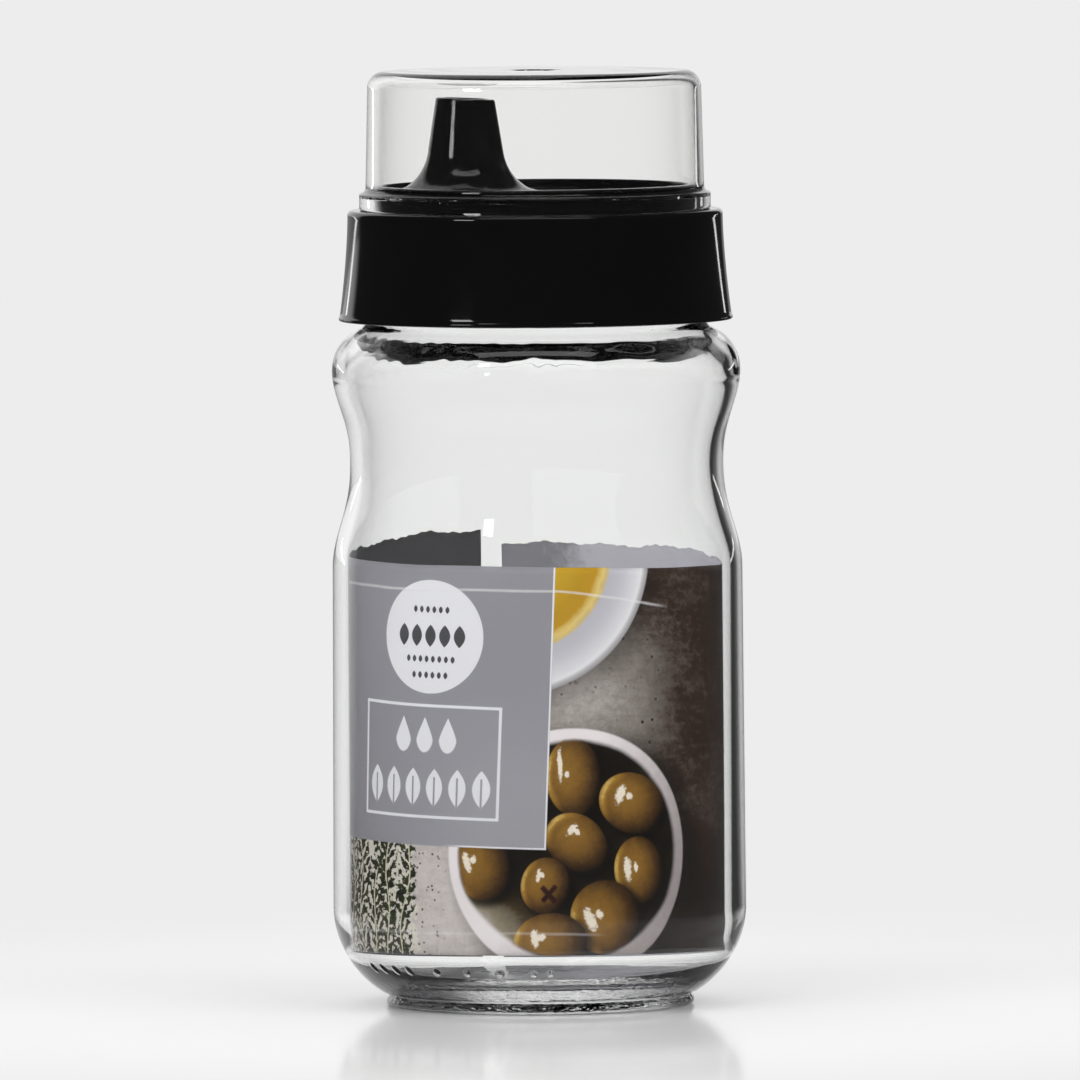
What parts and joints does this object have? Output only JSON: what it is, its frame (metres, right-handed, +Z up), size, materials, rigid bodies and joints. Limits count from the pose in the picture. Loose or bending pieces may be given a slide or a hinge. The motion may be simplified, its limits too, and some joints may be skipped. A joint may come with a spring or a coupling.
{
  "type": "glass oil bottle",
  "caption": "Waisted clear glass oil bottle with a rolled card label inside, a screw-on black pourer lid with an off-centre spout, and a clear dust cap.",
  "frame": {"origin": "centre of the base, on the plane that the bottle stands on", "axes": "+Z up along the bottle, -Y towards the printed front of the label, -X towards the spout"},
  "size_m": [0.085, 0.085, 0.1939],
  "materials": {
    "clear_glass": "clear moulded soda-lime glass, fire polished",
    "printed_card": "semi-gloss printed card, plain grey back",
    "seal": "soft white seal",
    "black_plastic": "high gloss moulded black",
    "clear_plastic": "clear polished moulding"
  },
  "bodies": {
    "bottle": {"glass_bottle": "clear_glass", "label_sheet": "printed_card"},
    "pourer": {"pour_insert": "black_plastic", "seal_ring": "seal"},
    "collar": {"screw_collar": "black_plastic"},
    "cap": {"dust_cap": "clear_plastic"}
  },
  "joints": [
    {"name": "lid_lift", "type": "slide", "parent": "bottle", "child": "pourer", "axis": [0, 0, 1], "range_m": [0, 0.0196]},
    {"name": "collar_turn", "type": "hinge", "parent": "pourer", "child": "collar", "pos_m": [0, 0, 0.15], "axis": [0, 0, 1], "range_deg": [0, 1170]},
    {"name": "cap_lift", "type": "slide", "parent": "pourer", "child": "cap", "axis": [0, 0, 1], "range_m": [0, 0.035]}
  ],
  "couplings": [
    {"joint": "lid_lift", "follows": "collar_turn", "m_per_rad": 0.00095493}
  ]
}
